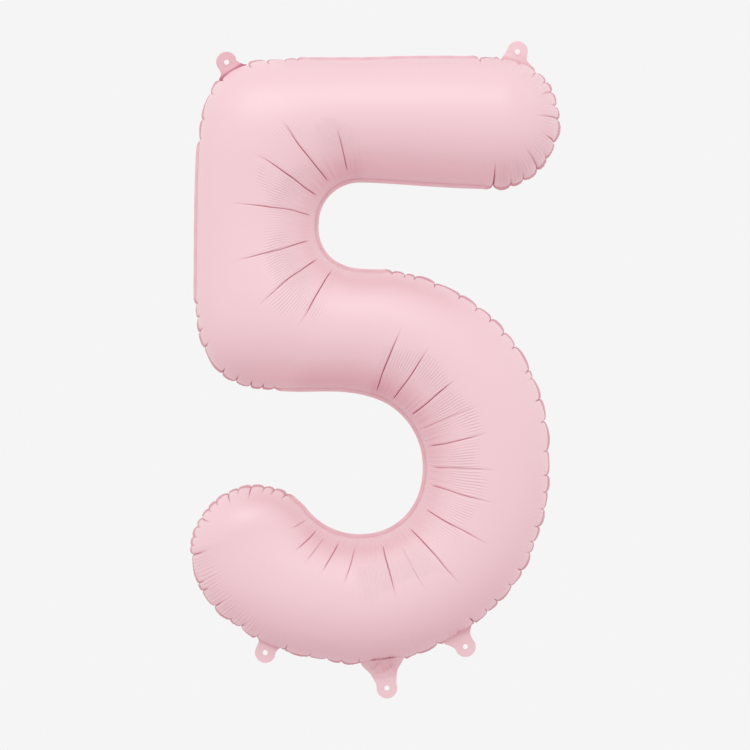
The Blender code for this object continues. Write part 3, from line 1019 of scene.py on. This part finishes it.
def cap_grid(which, shares, angles, back, start_u):
    """Foil over a round end: spokes from the rim in to the pole, which isn't included."""
    facing = 1.0 if back else -1.0
    _, pole, directions, reach = cap_rim(which, shares)
    side_a, side_b = end_sides(which)
    full = np.linalg.norm(side_b - side_a) - 2 * FLANGE
    height = crown(full) * (LOBE_HEIGHT if which == "lobe" else 1.0)
    inner = (reach - FLANGE)[:, None]
    cosine = np.cos(angles)[None, :]
    base = plane(pole + directions[:, None, :] * (inner * cosine)[..., None])
    base[..., 1] = facing * (SEAM_HALF_GAP + SHEET + height * np.sin(angles)[None, :])
    over = plane(-directions[:, None, :] * (inner * np.sin(angles)[None, :])[..., None])
    over[..., 1] = facing * height * cosine
    normal, speed = surface(base, over, shares, facing)
    rho = RIM.on_lobe(shares) if which == "lobe" else RIM.on_arm(shares)
    plan = inner * (1 - cosine)
    lift, shade = fold_relief(rho, plan, arcs_across(base), speed, shares, back)
    foil = base + normal * lift[..., None]
    outward = plane(directions)
    foil[:, 0] = weld_line(pole + directions * inner, outward, lift[:, 0], facing)
    rims = flange_points(foil[:, 0], outward, rho)
    grid = np.stack([*rims[::-1], *foil.swapaxes(0, 1)], axis=1)
    blank = np.zeros((len(shares), len(FLANGE_STEPS)))
    across = np.concatenate(((blank - FLANGE_STEPS)[:, ::-1], plan), axis=1)
    shade = np.concatenate((blank + flange_shade(rho, back)[:, None], shade), axis=1)
    along_u = start_u + np.broadcast_to((rho - rho[0])[:, None], grid.shape[:2])
    lining = base - normal * LINING_INSET
    return grid, along_u, across, shade, np.zeros(grid.shape[:2]), lining


def numbered(first, shape):
    """Running numbers from first on, in this shape."""
    return first + np.arange(math.prod(shape)).reshape(shape)


def grid_faces(ids):
    return np.stack((ids[:-1, :-1], ids[1:, :-1], ids[1:, 1:], ids[:-1, 1:]), -1).reshape(-1, 4)


def wheel_faces(ids, row, hub, fan):
    """A round end's spokes between the two halves of its rib, and triangles to the hub."""
    half_a, half_b = ids[row, :hub], ids[row, hub + 1 :][::-1]
    first, final = (half_b, half_a) if row == 0 else (half_a, half_b)
    spokes = np.concatenate((first[None], fan, final[None]))
    tips = zip(spokes[:-1, -1], spokes[1:, -1])
    return grid_faces(spokes), [(one, other, ids[row, hub]) for one, other in tips]


def build_skin(name, back):
    """One film: the outer face over the stroke and its ends, closed by a lining."""
    places = station_places()
    angles = column_angles(ACROSS)
    middle = ACROSS // 2
    edge = len(FLANGE_STEPS)
    *layers, lining = main_grid(places, angles, back)
    ids = numbered(0, layers[0].shape[:2])
    last = float(layers[1].max())
    layers = [layer.reshape(ids.size, -1) for layer in layers]
    quads = [grid_faces(ids)]
    others = []
    shares = np.linspace(0.0, 1.0, CAP_SPOKES + 1)
    caps = []
    for which, row in ENDS:
        *cap, inner_lining = cap_grid(which, shares, angles[:middle], back, last)
        inner = [layer[1:-1] for layer in cap]
        fan = numbered(len(layers[0]), inner[0].shape[:2])
        rows = [layer.reshape(fan.size, -1) for layer in inner]
        layers = [np.concatenate(pair) for pair in zip(layers, rows)]
        spokes, tips = wheel_faces(ids, row, edge + middle, fan)
        quads.append(spokes)
        others += tips
        caps.append((fan, inner_lining[1:-1]))
    rim = edge + 1
    loop = (ids[:, :rim], caps[0][0][:, :rim], ids[::-1, ::-1][:, :rim], caps[1][0][:, :rim])
    extra, more_quads, more = lining_faces(np.concatenate(loop), layers[0], lining, caps, back)
    layers = [np.concatenate((layer, np.zeros((len(extra), layer.shape[1])))) for layer in layers]
    layers[0][-len(extra) :] = extra
    return make_mesh(name, layers, np.concatenate((*quads, more_quads)), others + more)


def lining_faces(loop, verts, lining, caps, back):
    """The film's inner side: the rim's back, then a coarse smooth wall inside."""
    facing = 1.0 if back else -1.0
    rows = lining.shape[0]
    spokes = len(caps[0][1])
    inner = verts[loop].copy()
    inner[..., 1] -= facing * SHEET
    inner_ids = numbered(len(verts), loop.shape)
    added = [inner.reshape(-1, 3)]
    used = len(verts) + loop.size
    row_picks = sorted({*range(0, rows, LINING_EVERY), rows - 1})
    spoke_picks = list(range(LINING_EVERY // 2, spokes, LINING_EVERY))
    mirror = [ACROSS - column for column in LINING_COLUMNS[::-1]]
    middle = ACROSS // 2
    picks = [*LINING_COLUMNS, middle, *mirror]
    coarse = lining[row_picks][:, picks]
    coarse_ids = numbered(used, coarse.shape[:2])
    added.append(coarse.reshape(-1, 3))
    used += coarse_ids.size
    quads = [grid_faces(coarse_ids)]
    others = []
    fans = []
    for (_, row), (_, cap_lining) in zip(ENDS, caps):
        part = cap_lining[spoke_picks][:, list(LINING_COLUMNS)]
        fan = numbered(used, part.shape[:2])
        added.append(part.reshape(-1, 3))
        used += fan.size
        spokes_here, tips = wheel_faces(coarse_ids, row, len(LINING_COLUMNS), fan)
        quads.append(spokes_here)
        others += tips
        fans.append(fan)
    marks = [(pick, coarse_ids[k, 0]) for k, pick in enumerate(row_picks)]
    marks += [(rows + pick, fans[0][k, 0]) for k, pick in enumerate(spoke_picks)]
    start = rows + spokes
    marks += [(start + rows - 1 - pick, coarse_ids[k, -1]) for k, pick in list(enumerate(row_picks))[::-1]]
    marks += [(start + rows + pick, fans[1][k, 0]) for k, pick in enumerate(spoke_picks)]
    total = len(loop)
    for (low, one), (high, other) in zip(marks, [*marks[1:], (total, marks[0][1])]):
        run = [inner_ids[k % total, -1] for k in range(low, high + 1)]
        others.append((*run, other, one))
    closed = np.concatenate((inner_ids, inner_ids[:1]))
    quads.append(grid_faces(closed))
    outer = np.concatenate((loop[:, 0], loop[:1, 0]))
    quads.append(np.stack((outer[:-1], outer[1:], closed[1:, 0], closed[:-1, 0]), -1))
    return np.concatenate(added), np.concatenate(quads), others


def make_mesh(name, layers, quads, others):
    """The skin from its faces and its layers: points, UVs, crease shade and ripples."""
    verts, along_u, across, shade, weight = layers
    mesh = bpy.data.meshes.new(name)
    faces = [tuple(face) for face in quads.tolist()] + [tuple(map(int, face)) for face in others]
    mesh.from_pydata(verts.tolist(), [], faces)
    uv = mesh.uv_layers.new(name="foil")
    corner = np.zeros(len(mesh.loops), dtype=np.int32)
    mesh.loops.foreach_get("vertex_index", corner)
    flat = np.concatenate((along_u[corner], across[corner]), axis=1).astype(np.float32)
    uv.data.foreach_set("uv", flat.ravel())
    # The crease attribute carries the painted shade worked out in relief() and along the rims.
    return finish_mesh(mesh, name, {"crease": shade, "crinkle": weight}, SKIN_SHARP)


# ---- materials
def new_material(name):
    material = bpy.data.materials.new(name)
    material.use_nodes = True
    return material, material.node_tree, material.node_tree.nodes["Principled BSDF"]


def feed(tree, socket, value):
    """Link another node's output to a socket, or set the socket's fixed value."""
    if isinstance(value, bpy.types.NodeSocket):
        tree.links.new(value, socket)
    else:
        socket.default_value = value


def add_node(tree, kind, **sockets):
    """A node whose inputs, by name, are fed with values or other nodes' outputs."""
    node = tree.nodes.new("ShaderNode" + kind)
    for label, value in sockets.items():
        feed(tree, node.inputs[label.replace("_", " ")], value)
    return node


def math_node(tree, operation, *values):
    node = add_node(tree, "Math")
    node.operation = operation
    for socket, value in zip(node.inputs, values):
        feed(tree, socket, value)
    return node.outputs[0]


def attribute(tree, name):
    node = add_node(tree, "Attribute")
    node.attribute_name = name
    return node.outputs["Fac"]


def foil_material():
    """Satin pink foil: broad white sheen, with painted shade from the crease attribute, darker, redder and
    less glossy.
    """
    material, tree, shader = new_material("pink_foil")
    link = tree.links.new
    shader.inputs["Roughness"].default_value = 0.44
    shader.inputs["IOR"].default_value = 2.3
    # The crease attribute holds painted shade: darker, redder foil with less gloss in creases, cusps,
    # edges, rims and tab roots.
    crease = attribute(tree, "crease")
    shade_tint = add_node(tree, "Mix")
    shade_tint.data_type = "RGBA"
    shade_tint.inputs[6].default_value = FOIL_COLOR
    shade_tint.inputs[7].default_value = CREASE_SHADE_COLOR
    link(crease, shade_tint.inputs["Factor"])
    shaded_gloss = add_node(tree, "MapRange", Value=crease, To_Min=0.5, To_Max=0.05)
    link(shaded_gloss.outputs["Result"], shader.inputs["Specular IOR Level"])
    link(shade_tint.outputs[2], shader.inputs["Base Color"])
    link(ripple_bump(tree), shader.inputs["Normal"])
    return material


def valve_material():
    material, _, shader = new_material("valve_film")
    shader.inputs["Base Color"].default_value = (0.80, 0.78, 0.78, 1.0)
    shader.inputs["Roughness"].default_value = 0.30
    shader.inputs["Transmission Weight"].default_value = 0.6
    return material


def ripple_bump(tree):
    """Faint fine ripples along the stroke, in patches."""
    uv = add_node(tree, "UVMap")
    uv.uv_map = "foil"
    split = add_node(tree, "SeparateXYZ", Vector=uv.outputs["UV"])
    place = add_node(tree, "TexCoord").outputs["Object"]
    noise = add_node(tree, "TexNoise", Vector=place, Scale=30.0)
    warp = math_node(tree, "MULTIPLY", noise.outputs["Fac"], 6.0)
    turns = 2 * math.pi / BUMP_PITCH
    wave = math_node(tree, "MULTIPLY_ADD", split.outputs["X"], turns, warp)
    wave = math_node(tree, "SINE", wave)
    patches = add_node(tree, "TexNoise", Vector=place, Scale=17.0, Detail=0.0)
    shown = add_node(tree, "MapRange", Value=patches.outputs["Fac"], From_Min=0.25, From_Max=0.50)
    weight = attribute(tree, "crinkle")
    masked = math_node(tree, "MULTIPLY", shown.outputs["Result"], weight)
    height = math_node(tree, "MULTIPLY", wave, masked)
    bump = add_node(tree, "Bump", Height=height, Strength=1.0, Distance=BUMP_HEIGHT)
    return bump.outputs["Normal"]


# ---- stage
def add_camera():
    data = bpy.data.cameras.new("camera")
    data.lens = LENS
    data.sensor_width = SENSOR
    camera = bpy.data.objects.new("camera", data)
    camera.location = (0.0, -VIEW_WIDTH / SENSOR * LENS, CAMERA_HEIGHT)
    camera.rotation_euler = (math.radians(90.0), 0.0, 0.0)
    bpy.context.scene.collection.objects.link(camera)
    bpy.context.scene.camera = camera


def add_light(name, location, target, size, power):
    data = bpy.data.lights.new(name, "AREA")
    data.shape = "RECTANGLE"
    data.size, data.size_y = size
    data.energy = power
    light = bpy.data.objects.new(name, data)
    light.location = location
    aim = Vector(target) - Vector(location)
    light.rotation_euler = aim.to_track_quat("-Z", "Y").to_euler()
    bpy.context.scene.collection.objects.link(light)


def add_world(seen):
    """A pale studio: even grey to the camera, light that is brighter from above."""
    world = bpy.data.worlds.new("studio")
    bpy.context.scene.world = world
    world.use_nodes = True
    tree = world.node_tree
    link = tree.links.new
    tree.nodes.clear()
    output = add_node(tree, "OutputWorld")
    mix = add_node(tree, "MixShader")
    shown = add_node(tree, "Background", Color=(seen, seen, seen, 1.0))
    split = add_node(tree, "SeparateXYZ", Vector=add_node(tree, "TexCoord").outputs["Generated"])
    part = add_node(tree, "MapRange", Value=split.outputs["Z"], From_Min=-1.0)
    ramp = add_node(tree, "ValToRGB", Fac=part.outputs["Result"])
    stops = ramp.color_ramp.elements
    last = len(WORLD_COLORS) - 1
    for step in range(1, last):
        stops.new(step / last)
    for stop, color in zip(stops, WORLD_COLORS):
        stop.color = (*color, 1.0)
    lit = add_node(tree, "Background", Color=ramp.outputs["Color"])
    link(add_node(tree, "LightPath").outputs["Is Camera Ray"], mix.inputs["Fac"])
    link(lit.outputs[0], mix.inputs[1])
    link(shown.outputs[0], mix.inputs[2])
    link(mix.outputs[0], output.inputs["Surface"])


# ---- main
def finish_valve():
    """The valve's films keep their CAD shape and take a clear film's look."""
    clear = valve_material()
    for name in ("valve_front_film", "valve_back_film"):
        film = frame["nodes"][name]
        film.data.materials.clear()
        film.data.materials.append(clear)


def main():
    bpy.context.scene.view_settings.view_transform = "Standard"
    foil = foil_material()
    for side, back in (("front", False), ("back", True)):
        skin = build_skin(side + "_skin", back)
        skin.data.materials.append(foil)
        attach(skin, "balloon")
        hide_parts(side + "_panel")
        print(skin.name, len(skin.data.vertices), "vertices", len(skin.data.polygons), "faces")
    for tab in TABS:
        add_tab(tab).data.materials.append(foil)
    finish_valve()
    add_camera()
    add_world(BACKGROUND)
    add_light("key", KEY_PLACE, KEY_TARGET, KEY_SIZE, KEY_POWER)


main()
